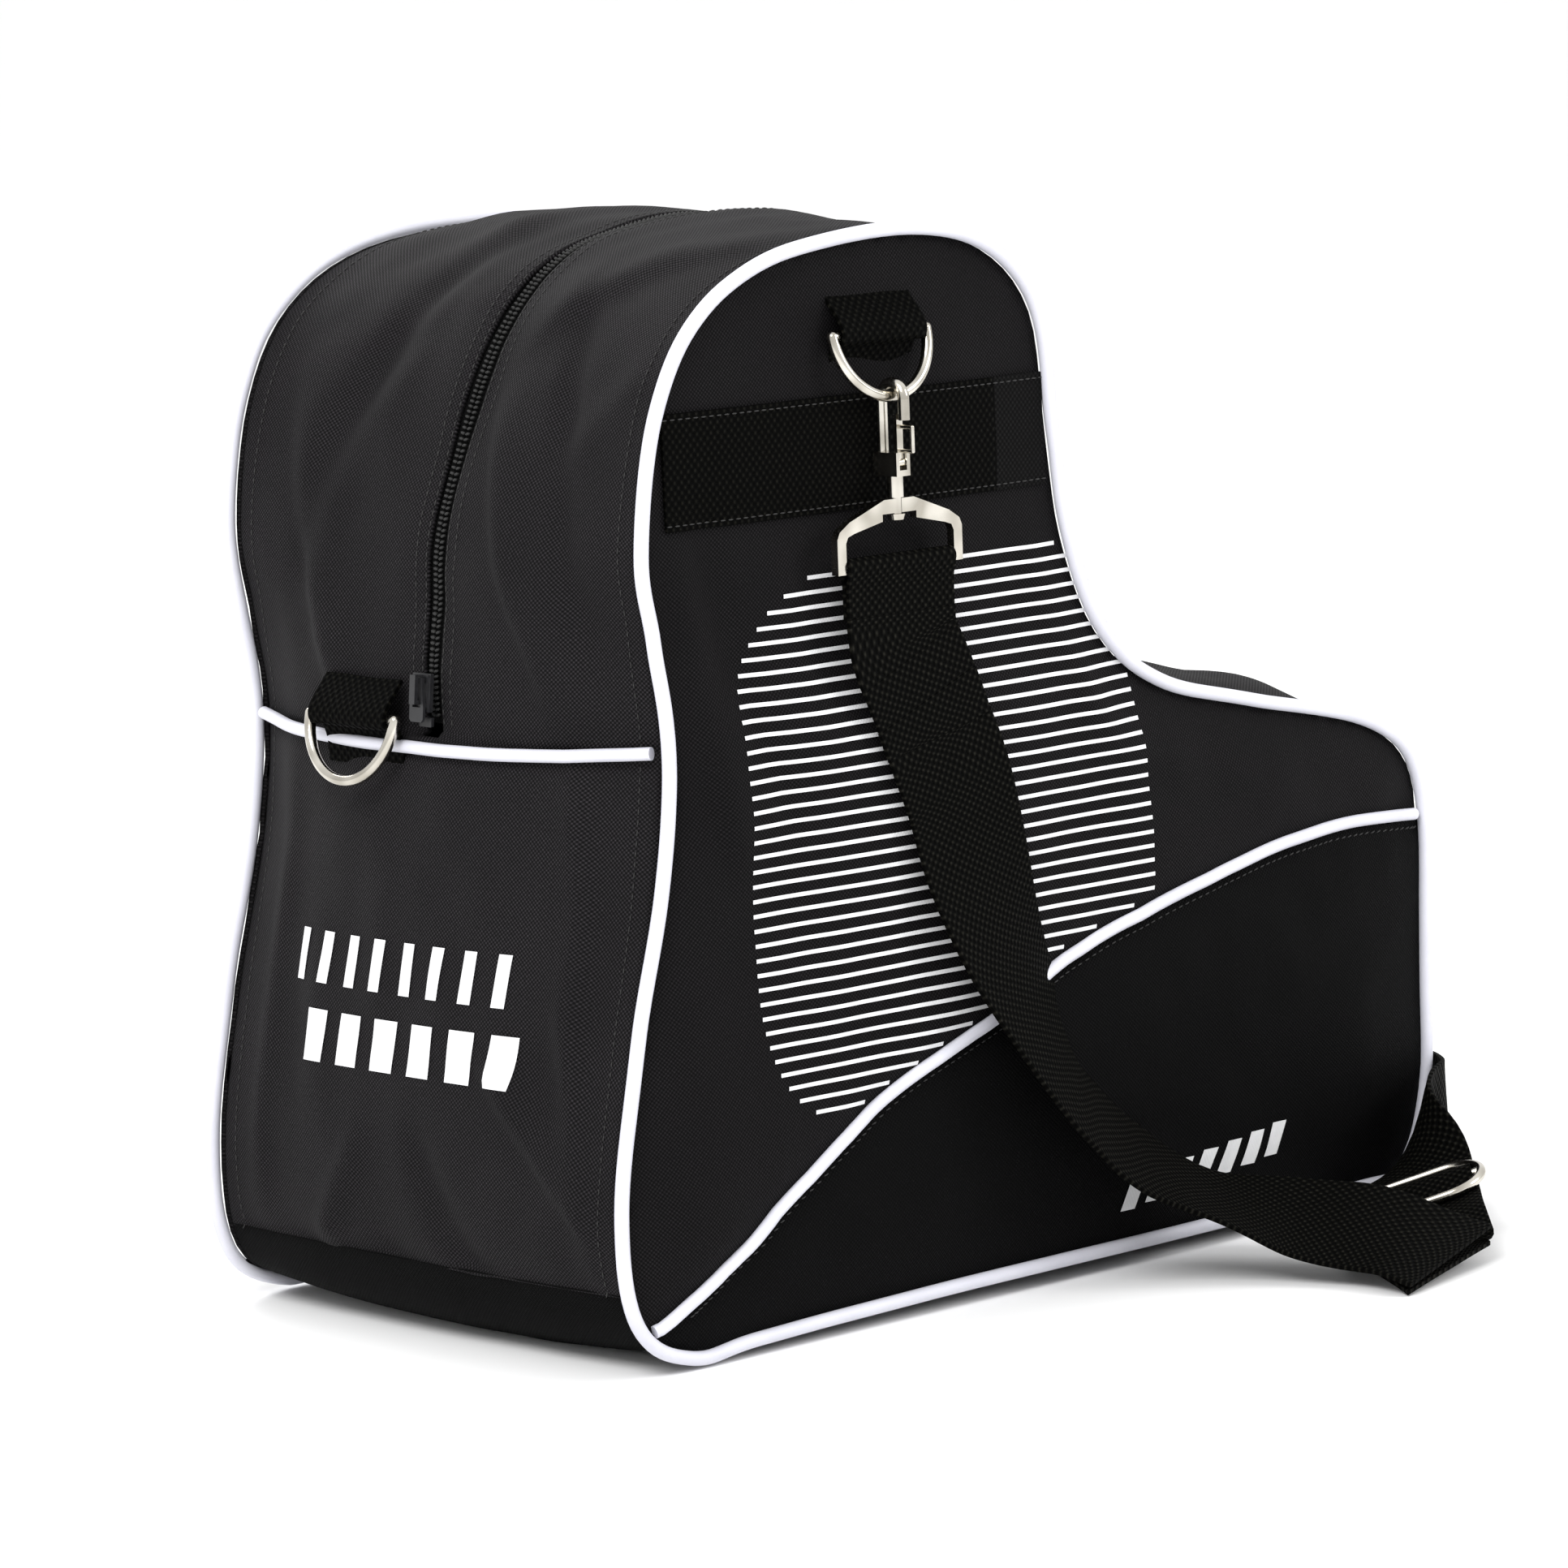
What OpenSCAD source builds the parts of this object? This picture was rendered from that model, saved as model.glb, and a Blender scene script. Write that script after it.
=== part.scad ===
// Skate bag: a boot-shaped carry bag with piped seams, webbing rings, swivel hooks and a loose
// shoulder strap. +X points to the toe, +Z up, and the floor is z = 0. The near side is -Y.

/* [Bag] */
// Length of the bag from heel to toe
bag_l = 412; // [395:1:430]
// Width between the two side panels
bag_w = 210; // [190:2:230]
// Thickness of the padded fabric walls
wall = 3; // [2:0.5:4]
// Diameter of the white piping
piping_d = 5; // [4:0.5:6]

/* [Webbing and straps] */
// Width of the shoulder strap
strap_w = 50; // [40:1:50]
// Thickness of the shoulder strap
strap_t = 1.6; // [1.2:0.1:2]
// Width of the webbing band round the shaft
band_w = 39; // [30:1:40]
// Thickness of the webbing band
band_t = 1.5; // [1:0.1:1.8]
// Width of the webbing tabs that hold the rings
tab_w = 38; // [30:1:38]

/* [Rings] */
// Radius of a ring to the middle of its wire
ring_r = 22; // [20:0.5:23]
// Diameter of the ring wire
ring_wire = 4; // [3:0.2:4.4]
// Angle at which a ring hangs away from the bag
ring_tilt = 14; // [8:1:20]

/* [Hooks] */
// Diameter of the hook's bar
hook_wire = 4; // [3.4:0.2:4.2]
// Outer width of the strap frame under each hook
frame_w = 59; // [57:1:60]
// Thickness of the strap frame
frame_t = 3.2; // [2.4:0.2:3.6]

/* [Zip] */
// Distance of the zip from the middle of the bag, towards the near side
zip_off = 8; // [0:1:10]
// Half width of the zip tapes that show
tape_w = 7; // [5:0.5:8]

/* [Hidden] */
$fn = 32;

FABRIC = [0.11, 0.105, 0.115];
DARK_FABRIC = [0.07, 0.068, 0.075];
PIPING = [0.93, 0.93, 0.96];
WEBBING = [0.05, 0.05, 0.048];
NICKEL = [0.78, 0.75, 0.70];
ZIP_BLACK = [0.03, 0.03, 0.035];

// Half sizes, and how far the loose drawing of the side shape is stretched to the asked length
half_w = bag_w / 2;
kx = bag_l / 412;

// Outline of a side panel, [x, z], heel corner first, up the heel, over the top and down to the toe
SIDE = [[-172, 6], [-195, 20], [-200, 58], [-190, 112], [-176, 165], [-171, 208], [-176, 245],
    [-180, 275], [-172, 318], [-152, 349], [-115, 367], [-56, 372], [-18, 364], [5, 341], [11, 300],
    [17, 262], [33, 227], [62, 205], [112, 192], [165, 180], [192, 165], [200, 138], [199, 90],
    [197, 40], [184, 10], [160, 5], [60, 5], [-60, 5], [-140, 5]];
// The same outline half way across the bag, where the stuffed fabric stands further out
MID = [[-172, 0], [-198, 18], [-206, 62], [-204, 112], [-198, 165], [-193, 208], [-189, 245],
    [-185, 278], [-168, 320], [-144, 354], [-108, 373], [-56, 379], [-14, 371], [12, 347], [18, 305],
    [25, 268], [41, 236], [67, 215], [113, 204], [166, 194], [195, 178], [206, 142], [206, 90],
    [202, 40], [186, 8], [160, 0], [60, 0], [-60, 0], [-140, 0]];

// Places along the outline, counted in points of SIDE
s_base_heel = 1.3;
s_heel_piping = 5;
s_zip_end = 15.8;
s_base_toe = 23.3;
s_all = len(SIDE);

// Smooth closed curve through a list of points, at place s
function mod_i(i, n) = ((i % n) + n) % n;
function blend4(a, b, c, d, t) = 0.5 * ((2 * b) + (c - a) * t + (2 * a - 5 * b + 4 * c - d) * t * t
    + (3 * b - a - 3 * c + d) * t * t * t);
function curve(p, s) = let (n = len(p), i = floor(s), t = s - i)
    blend4(p[mod_i(i - 1, n)], p[mod_i(i, n)], p[mod_i(i + 1, n)], p[mod_i(i + 2, n)], t);
function unit(v) = v / norm(v);
// Outward direction of the outline at place s
function outward(p, s) = let (t = unit(curve(p, s + 0.05) - curve(p, s - 0.05))) [-t[1], t[0]];
function side_at(s, d) = let (q = curve(SIDE, s) + outward(SIDE, s) * d) [q[0] * kx, q[1]];
// How much of the mid-width shape shows at v, from -1 on the near side to 1 on the far side
function crown(v) = 1 - pow(abs(v), 2.5);
// Point of the gusset's skin at place s, width v and depth d outwards
function skin(s, v, d) = let (c = crown(v), m = curve(MID, s) + outward(SIDE, s) * d,
    e = curve(SIDE, s) + outward(SIDE, s) * d, q = e * (1 - c) + m * c)
    [q[0] * kx, v * (half_w - wall), max(q[1], 0)];

// Indices of a grid's quads, rows by cols, turned over when flip is true
function quads(rows, cols, base, flip) = [for (i = [0 : rows - 2], j = [0 : cols - 2])
    let (a = base + i * cols + j, b = a + 1, c = a + cols + 1, d = a + cols)
    flip ? [a, d, c, b] : [a, b, c, d]];

// Curved piece of gusset between two places and two widths, d_in to d_out from the skin
module gusset(s0, s1, v0, v1, d_in, d_out, rows, cols) {
    n = rows * cols;
    outer = [for (i = [0 : rows - 1], j = [0 : cols - 1])
        skin(s0 + (s1 - s0) * i / (rows - 1), v0 + (v1 - v0) * j / (cols - 1), d_out)];
    inner = [for (i = [0 : rows - 1], j = [0 : cols - 1])
        skin(s0 + (s1 - s0) * i / (rows - 1), v0 + (v1 - v0) * j / (cols - 1), d_in)];
    lip_a = [for (j = [0 : cols - 2]) [j + 1, j, n + j, n + j + 1]];
    lip_b = let (k = (rows - 1) * cols) [for (j = [0 : cols - 2]) [k + j, k + j + 1, n + k + j + 1, n + k + j]];
    lip_c = [for (i = [0 : rows - 2]) let (k = i * cols) [k, k + cols, n + k + cols, n + k]];
    lip_d = [for (i = [0 : rows - 2]) let (k = i * cols + cols - 1) [k + cols, k, n + k, n + k + cols]];
    polyhedron(concat(outer, inner), concat(quads(rows, cols, 0, false), quads(rows, cols, n, true),
        lip_a, lip_b, lip_c, lip_d), convexity = 6);
}

// Tube through a list of points. Each ring stands across the path, with up as its sideways direction.
module tube(path, d, up, sides, closed) {
    n = len(path);
    function ahead(i) = unit(closed ? path[mod_i(i + 1, n)] - path[mod_i(i - 1, n)]
        : path[min(i + 1, n - 1)] - path[max(i - 1, 0)]);
    pts = [for (i = [0 : n - 1]) let (t = ahead(i), a = unit(cross(t, up)), b = cross(a, t))
        for (k = [0 : sides - 1]) path[i] + (a * cos(360 * k / sides) + b * sin(360 * k / sides)) * d / 2];
    walls = [for (i = [0 : (closed ? n - 1 : n - 2)], k = [0 : sides - 1])
        let (j = mod_i(i + 1, n), m = (k + 1) % sides)
        [i * sides + k, i * sides + m, j * sides + m, j * sides + k]];
    ends = closed ? [] : [[for (k = [sides - 1 : -1 : 0]) k], [for (k = [0 : sides - 1]) (n - 1) * sides + k]];
    polyhedron(pts, concat(walls, ends), convexity = 10);
}

// Flat strap through points [x, y, z] with the direction across it at each. The last direction is
// the line of the fold, which cuts the strap at a slant, half a fold to each side.
module flat_strap(path, across, fold) {
    n = len(path);
    function ahead(i) = unit(path[min(i + 1, n - 1)] - path[max(i - 1, 0)]);
    function level(i) = unit(across[i] - ahead(i) * (across[i] * ahead(i)));
    pts = [for (i = [0 : n - 1]) let (slant = fold > 0 && i == n - 1,
        w = slant ? unit(across[i]) : level(i), h = cross(ahead(i), level(i)) * strap_t / 2,
        e = w * (slant ? fold / 2 : strap_w / 2))
        for (q = [path[i] - e - h, path[i] + e - h, path[i] + e + h, path[i] - e + h]) q];
    walls = [for (i = [0 : n - 2], k = [0 : 3], half = [0, 1]) let (m = (k + 1) % 4, a = i * 4)
        half == 0 ? [a + k, a + m, a + 4 + m] : [a + k, a + 4 + m, a + 4 + k]];
    e = (n - 1) * 4;
    polyhedron(pts, concat(walls, [[2, 1, 0], [3, 2, 0], [e, e + 1, e + 2], [e, e + 2, e + 3]]), convexity = 10);
}

// The far side repeats the near side
module far_side() {
    mirror([0, 1, 0]) children();
}

// ---- Panels ----

module side_plate() {
    translate([0, -half_w + wall, 0]) rotate([90, 0, 0]) linear_extrude(wall)
        polygon([for (s = [0 : 0.25 : s_all - 0.25]) side_at(s, -0.4)]);
}

module side_panel_near() {
    color(FABRIC) side_plate();
}

module side_panel_far() {
    color(FABRIC) far_side() side_plate();
}

module heel_panel() {
    color(FABRIC) gusset(s_base_heel, s_heel_piping - 0.03, -1, 1, -wall, 0, 13, 11);
}

zip_v = -zip_off / (half_w - wall);
tape_v = tape_w / (half_w - wall);

module upper_gusset_near() {
    color(FABRIC) gusset(s_heel_piping + 0.03, s_zip_end, -1, zip_v - tape_v, -wall, 0, 33, 6);
}

module upper_gusset_far() {
    color(FABRIC) gusset(s_heel_piping + 0.03, s_zip_end, zip_v + tape_v, 1, -wall, 0, 33, 6);
}

module toe_gusset() {
    color(FABRIC) gusset(s_zip_end, s_base_toe, -1, 1, -wall, 0, 24, 11);
}

module base_panel() {
    color(DARK_FABRIC) gusset(s_base_toe, s_all + s_base_heel, -1, 1, -wall, 0, 22, 9);
}

// Upper edge of the toe overlay, from the heel corner to the toe front
OVERLAY = [[-192, 15], [-176, 23], [-92, 76], [-31, 100], [10, 117], [48, 127], [80, 134], [114, 140],
    [147, 143], [172, 143], [200, 141]];
overlay_t = 1;

module overlay_plate() {
    translate([0, -half_w, 0]) rotate([90, 0, 0]) linear_extrude(overlay_t)
        polygon(concat([for (p = OVERLAY) [p[0] * kx, p[1] - 2.4]],
            [for (s = [21.2 : 0.25 : s_all + 0.45]) side_at(s, -1.6)]));
}

module toe_overlay_near() {
    color(FABRIC) overlay_plate();
}

module toe_overlay_far() {
    color(FABRIC) far_side() overlay_plate();
}

// ---- Piping ----

piping_out = 0.37 * piping_d;

module outline_tube() {
    tube([for (s = [0 : 1 / 3 : s_all - 0.3]) let (q = side_at(s, piping_out)) [q[0], -half_w - piping_out, q[1]]],
        piping_d, [0, 1, 0], 8, true);
}

module piping_outline_near() {
    color(PIPING) outline_tube();
}

module piping_outline_far() {
    color(PIPING) far_side() outline_tube();
}

module piping_heel() {
    color(PIPING) tube([for (v = [-1 : 0.1 : 1.001]) skin(s_heel_piping - 0.07 * crown(v), v * 0.985, 0.45 * piping_d + 0.35)],
        piping_d * 0.9, [1, 0, 0], 8, false);
}

module overlay_tube() {
    tube([for (p = OVERLAY) [p[0] * kx * 0.985, -half_w - piping_d * 0.45, p[1] + 1]],
        piping_d * 0.9, [0, 1, 0], 8, false);
}

module piping_overlay_near() {
    color(PIPING) overlay_tube();
}

module piping_overlay_far() {
    color(PIPING) far_side() overlay_tube();
}

// ---- Webbing band and ring tabs ----

band_z = 300.5;
patch_l = 23;
band_x0 = -168;
band_x1 = 7;

module band_plate() {
    translate([band_x0 * kx, -half_w - band_t, band_z - band_w / 2])
        cube([(band_x1 - band_x0 - patch_l) * kx, band_t, band_w]);
}

module webbing_band_near() {
    color(WEBBING) band_plate();
}

module webbing_band_far() {
    color(WEBBING) far_side() band_plate();
}

module patch_plate() {
    translate([(band_x1 - patch_l) * kx, -half_w - band_t, band_z - band_w / 2])
        cube([patch_l * kx, band_t, band_w]);
}

module band_end_patch_near() {
    color(FABRIC) patch_plate();
}

module band_end_patch_far() {
    color(FABRIC) far_side() patch_plate();
}

// Middle of a side ring's bar: along the bag, out from the side panel, and height
ring_x = -73.5 * kx;
ring_bar_y = -half_w - 6;
ring_bar_z = 340;
// Middle of the heel ring's bar
heel_ring_x = -198.5 * kx;
heel_ring_y = 24;
heel_ring_z = 214.5;
bar_fit = 0.08;

// Webbing folded round a ring's bar, drawn with the bar along X and the bag behind it at +Y
module tab_fold(back) {
    difference() {
        translate([-tab_w / 2, -3.6, -4]) cube([tab_w, 3.6 + back, 10]);
        translate([-tab_w, 0, 0]) rotate([0, 90, 0]) cylinder(r = ring_wire / 2 + bar_fit, h = 2 * tab_w);
    }
}

module side_tab() {
    translate([ring_x, ring_bar_y, ring_bar_z]) tab_fold(-half_w - ring_bar_y);
}

module ring_tab_near() {
    color(WEBBING) side_tab();
}

module ring_tab_far() {
    color(WEBBING) far_side() side_tab();
}

module ring_tab_heel() {
    color(WEBBING) translate([heel_ring_x, heel_ring_y, heel_ring_z]) rotate([0, 0, -90]) tab_fold(5.3);
}

// ---- Rings ----

// D ring with its bar along X at the origin, hanging down and tilted out towards -Y
module ring_shape() {
    rotate([-ring_tilt, 0, 0]) union() {
        rotate([90, 0, 0]) rotate([0, 0, 180]) rotate_extrude(angle = 180) translate([ring_r, 0]) circle(ring_wire / 2);
        translate([-ring_r, 0, 0]) rotate([0, 90, 0]) cylinder(d = ring_wire, h = 2 * ring_r);
        for (s = [-1, 1]) translate([s * ring_r, 0, 0]) sphere(d = ring_wire);
    }
}

module d_ring_near() {
    color(NICKEL) translate([ring_x, ring_bar_y, ring_bar_z]) ring_shape();
}

module d_ring_far() {
    color(NICKEL) far_side() translate([ring_x, ring_bar_y, ring_bar_z]) ring_shape();
}

module d_ring_heel() {
    color(NICKEL) translate([heel_ring_x, heel_ring_y, heel_ring_z]) rotate([0, 0, -90]) ring_shape();
}

// ---- Zip ----

coil_w = 1.5 / (half_w - wall);
s_slider = 5.42;

module zip_tape_near() {
    color(ZIP_BLACK) gusset(s_heel_piping + 0.15, s_zip_end - 0.05, zip_v - tape_v, zip_v - coil_w, -1.2, -0.3, 33, 2);
}

module zip_tape_far() {
    color(ZIP_BLACK) gusset(s_heel_piping + 0.15, s_zip_end - 0.05, zip_v + coil_w, zip_v + tape_v, -1.2, -0.3, 33, 2);
}

module zip_coil_near() {
    color(ZIP_BLACK) gusset(s_heel_piping + 0.2, s_zip_end - 0.1, zip_v - coil_w, zip_v, -1, 0.8, 33, 2);
}

module zip_coil_far() {
    color(ZIP_BLACK) gusset(s_heel_piping + 0.2, s_zip_end - 0.1, zip_v, zip_v + coil_w, -1, 0.8, 33, 2);
}

module zip_stop_bottom() {
    color(ZIP_BLACK) gusset(s_heel_piping + 0.12, s_heel_piping + 0.2, zip_v - 2 * coil_w, zip_v + 2 * coil_w, -0.2, 1.1, 2, 2);
}

module zip_stop_top() {
    color(ZIP_BLACK) gusset(s_zip_end - 0.09, s_zip_end - 0.03, zip_v - 2 * coil_w, zip_v + 2 * coil_w, -0.2, 1.1, 2, 2);
}

// Slider at the bottom of the zip. The pull hangs from its bridge.
slider_p = skin(s_slider, zip_v, 0);
slider_lean = 6;
pull_pin = [-4.85, 0, 4];

module at_slider() {
    translate(slider_p) rotate([0, slider_lean, 0]) children();
}

// The bridge is an open arch, so that the pull's ring can turn in it
module zip_slider() {
    color(ZIP_BLACK) at_slider() difference() {
        union() {
            translate([-3.4, -4.5, -6.5]) cube([1.5, 9, 13]);
            translate([-3.4, 0, -5]) rotate([0, -90, 0]) linear_extrude(0.6) polygon([[0, -3], [11, -4], [11, 4], [0, 3]]);
            translate([-7.6, -1.4, -4]) cube([5.2, 2.8, 10]);
        }
        translate([-6.1, -5, -2.6]) cube([2.5, 10, 7.9]);
    }
}

// Flat pull: its ring goes round the arch, and the ring's upper bar lies inside the arch
module zip_pull() {
    color(ZIP_BLACK) at_slider() translate(pull_pin) rotate([90, 0, 90]) translate([0, 0, -0.55]) difference() {
        linear_extrude(1.1) polygon([[-2.6, 1], [-2.7, -3], [-3.5, -9], [-3.5, -13], [-2.6, -14], [2.6, -14],
            [3.5, -13], [3.5, -9], [2.7, -3], [2.6, 1]]);
        translate([-2, -9, -1]) cube([4, 8, 3]);
    }
}

// ---- Swivel hook, drawn for the near side ----

// Middle of the ring's wire where the hook hangs, and the places below it
ring_low_y = ring_bar_y - ring_r * sin(ring_tilt);
ring_low_z = ring_bar_z - ring_r * cos(ring_tilt);
hook_r = 5.3;
hook_y = ring_low_y;
hook_top = ring_low_z - 0.9;
arm_end_z = hook_top - 7;
base_z = hook_top - 23;
frame_top = ring_low_z - 34.5;
gate_y = hook_y - 2.2;
rivet_r = 1.9;

module at_hook() {
    translate([ring_x, 0, 0]) children();
}

module hook_body_shape() {
    at_hook() {
        translate([0, hook_y, hook_top]) rotate([90, 0, 90]) rotate_extrude(angle = 180)
            translate([hook_r, 0]) circle(hook_wire / 2);
        translate([0, hook_y + hook_r, base_z + 4]) cylinder(d = hook_wire, h = hook_top - base_z - 4);
        translate([0, hook_y - hook_r, arm_end_z]) cylinder(d = hook_wire, h = hook_top - arm_end_z);
        difference() {
            translate([-3.2, hook_y - 4.2, base_z - 3]) cube([6.4, 11.2, 8]);
            translate([-1.7, gate_y - 3, base_z - 1]) cube([3.4, 4.8, 9]);
            translate([-5, gate_y, base_z + 1.5]) rotate([0, 90, 0]) cylinder(r = 0.8, h = 10);
            translate([0, hook_y, base_z - 4]) cylinder(r = rivet_r, h = 5);
        }
    }
}

module hook_body_near() {
    color(NICKEL) hook_body_shape();
}

module hook_body_far() {
    color(NICKEL) far_side() hook_body_shape();
}

module gate_shape() {
    at_hook() difference() {
        union() {
            translate([-1.4, gate_y - 0.8, base_z + 1.5]) cube([2.8, 1.6, arm_end_z - base_z + 0.5]);
            translate([-1.4, gate_y, base_z + 1.5]) rotate([0, 90, 0]) cylinder(r = 1.5, h = 2.8);
        }
        translate([-5, gate_y, base_z + 1.5]) rotate([0, 90, 0]) cylinder(r = 0.85, h = 10);
    }
}

module hook_gate_near() {
    color(NICKEL) gate_shape();
}

module hook_gate_far() {
    color(NICKEL) far_side() gate_shape();
}

lever_r = 0.7;

module lever_shape() {
    at_hook() {
        translate([0, gate_y - 0.8, arm_end_z - 2.3]) rotate([90, 0, 0]) cylinder(r = lever_r, h = 6);
        translate([0, gate_y - 0.8, base_z + 5.5]) rotate([90, 0, 0]) cylinder(r = lever_r, h = 6);
        translate([0, gate_y - 6.8, base_z + 5.5]) cylinder(r = lever_r, h = arm_end_z - 2.3 - base_z - 5.5);
        for (z = [arm_end_z - 2.3, base_z + 5.5]) translate([0, gate_y - 6.8, z]) sphere(lever_r);
    }
}

module gate_lever_near() {
    color(NICKEL) lever_shape();
}

module gate_lever_far() {
    color(NICKEL) far_side() lever_shape();
}

module pin_shape() {
    at_hook() translate([-3.2, gate_y, base_z + 1.5]) rotate([0, 90, 0]) cylinder(r = 0.8, h = 6.4);
}

module gate_pin_near() {
    color(NICKEL) pin_shape();
}

module gate_pin_far() {
    color(NICKEL) far_side() pin_shape();
}

top_bar = 4.8;

module rivet_shape() {
    at_hook() {
        translate([0, hook_y, frame_top - top_bar - 0.5]) cylinder(r = rivet_r, h = base_z - 1.3 - frame_top + top_bar + 0.5);
        translate([0, hook_y, frame_top - top_bar - 2.4]) cylinder(r1 = 2.6, r2 = 3.2, h = 2);
        translate([0, hook_y, frame_top + 0.4]) cylinder(r = 2.8, h = base_z - 3 - frame_top - 0.4);
    }
}

module swivel_rivet_near() {
    color(NICKEL) rivet_shape();
}

module swivel_rivet_far() {
    color(NICKEL) far_side() rivet_shape();
}

frame_h = 23.5;

// Strap frame: a sloping top bar with a notch for the rivet, two legs and a round bar below
module frame_shape() {
    w = frame_w / 2;
    translate([ring_x, hook_y, frame_top]) {
        rotate([90, 0, 0]) translate([0, 0, -frame_t / 2]) difference() {
            linear_extrude(frame_t) difference() {
                polygon([[-7, 0], [7, 0], [w - 6, -6], [w - 1.2, -9], [w, -11.5], [w, -frame_h], [-w, -frame_h],
                    [-w, -11.5], [-w + 1.2, -9], [-w + 6, -6]]);
                polygon([[-8, -top_bar], [8, -top_bar], [8, -7.2], [w - 8, -10], [w - 5, -11], [w - 4, -13],
                    [w - 4, -30], [-w + 4, -30], [-w + 4, -13], [-w + 5, -11], [-w + 8, -10], [-8, -7.2]]);
            }
            translate([0, -top_bar - 1, frame_t / 2]) rotate([-90, 0, 0]) cylinder(r = rivet_r + 0.08, h = 12);
        }
        translate([-w + 2, 0, -frame_h + 2]) rotate([0, 90, 0]) cylinder(d = 3.2, h = 2 * w - 4);
    }
}

module strap_frame_near() {
    color(NICKEL) frame_shape();
}

module strap_frame_far() {
    color(NICKEL) far_side() frame_shape();
}

// ---- Shoulder strap ----

bar_z = frame_top - frame_h + 2;
loop_l = 17;

// Strap end folded round the frame's bar and stitched to itself
module loop_shape() {
    translate([ring_x, hook_y, bar_z]) difference() {
        union() {
            translate([-strap_w / 2, 0, 0]) rotate([0, 90, 0]) cylinder(r = 1.75 + strap_t, h = strap_w);
            translate([-strap_w / 2, -strap_t, -loop_l]) cube([strap_w, 2 * strap_t, loop_l]);
        }
        translate([-strap_w, 0, 0]) rotate([0, 90, 0]) cylinder(r = 1.75, h = 2 * strap_w);
    }
}

module strap_loop_near() {
    color(WEBBING) loop_shape();
}

module strap_loop_far() {
    color(WEBBING) far_side() loop_shape();
}

// Stretch of strap between the stitched loop and the part that lies against the bag: points and
// the direction across the strap at each
TOP_PATH = [[-73.5, -117.2, 245.4], [-73.5, -117.8, 236], [-67, -119, 220], [-60, -120, 202]];
TOP_ACROSS = [[-1, 0, 0], [-1, 0, -0.1], [-1, 0, -0.2], [-1, 0, -0.25]];
fold_l = 60;

module strap_top_near() {
    color(WEBBING) flat_strap(TOP_PATH, TOP_ACROSS, 0);
}

module strap_top_far() {
    color(WEBBING) far_side() flat_strap(TOP_PATH, TOP_ACROSS, 0);
}

// Near strap: down the side of the bag, then turning to lie as it runs out over the floor to the fold
NEAR_PATH = [[-60, -120, 202], [-53, -121, 184], [-46, -122, 158], [-36, -123, 130], [-23, -124, 104],
    [-8, -125, 78], [4, -126, 63], [16, -128, 50], [30, -133, 38], [47, -145, 27], [65, -163, 20], [78, -189, 16],
    [87, -216, 8.8]];
NEAR_ACROSS = [[-1, 0, -0.25], [-1, 0, -0.27], [-1, -0.05, -0.3], [-1, -0.25, -0.38], [-1, -0.5, -0.4],
    [-0.95, -0.7, -0.3], [-0.9, -0.7, -0.2], [-0.85, -0.6, -0.1], [-0.8, -0.62, -0.1], [-0.74, -0.66, -0.13],
    [-0.78, -0.53, -0.34], [-0.75, -0.52, -0.41], [-0.93, -0.2, -0.16]];

// Far strap: down the far side, on its edge round the toe, then over the floor through the triglide
// to the same fold, where it lies under the near strap
FAR_PATH = [[-60, 120, 202], [-53, 121, 184], [-46, 122, 158], [-36, 123, 130], [-22, 125, 104], [0, 127, 74],
    [28, 129, 50], [62, 131, 34], [100, 131, 28], [140, 129, 26], [178, 124, 26], [206, 112, 26],
    [221, 90, 26], [228, 58, 26], [230, 24, 26], [230, -10, 26], [227, -44, 26], [219, -74, 26],
    [211.5, -98, 26], [202, -115, 26], [182.5, -121.5, 25.8], [163, -128.5, 22.7], [148.3, -141.12, 18.23],
    [129, -161, 14.2], [111.08, -179.46, 10.45], [97, -196, 7.6], [87, -215, 4.6]];
FAR_ACROSS = [[1, 0, 0.25], [1, 0, 0.27], [1, 0, 0.3], [1, -0.1, 0.5], [0.9, -0.15, 0.7], [0.7, -0.1, 0.9],
    [0.5, -0.1, 1], [0.3, -0.1, 1], [0.1, -0.1, 1], [0, -0.05, 1], [0, 0, 1], [0, 0, 1], [0, 0, 1], [0, 0, 1],
    [0, 0, 1], [0, 0, 1], [0, 0, 1], [0, 0, 1], [0, 0, 1], [-0.06, 0.02, 1], [0.12, -0.12, 1],
    [0.38, -0.36, 0.85], [0.6505, -0.694, 0.3086], [0.6505, -0.694, 0.3086], [0.6505, -0.694, 0.3086],
    [0.85, -0.42, 0.14], [0.93, 0.2, 0.1]];

module strap_near() {
    color(WEBBING) flat_strap(NEAR_PATH, NEAR_ACROSS, fold_l);
}

module strap_far() {
    color(WEBBING) flat_strap(FAR_PATH, FAR_ACROSS, fold_l);
}

// Wire triglide round the far strap, near the fold
triglide_w = 58;
triglide_h = 30;
triglide_wire = 3.6;

module triglide() {
    a = triglide_w / 2 - triglide_h / 2;
    color(NICKEL) translate([127.95, -160.61, 17.30]) rotate([8.71, -17.97, -46.85]) {
        for (s = [-1, 1]) translate([s * a, 0, 0]) rotate([0, 0, s > 0 ? -90 : 90])
            rotate_extrude(angle = 180) translate([triglide_h / 2 - triglide_wire / 2, 0]) circle(d = triglide_wire);
        for (y = [-1, 1]) translate([-a, y * (triglide_h - triglide_wire) / 2, 0]) rotate([0, 90, 0]) cylinder(d = triglide_wire, h = 2 * a);
        translate([-triglide_w / 2 + 1, 0, 0]) rotate([0, 90, 0]) cylinder(d = 3, h = triglide_w - 2);
    }
}

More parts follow.
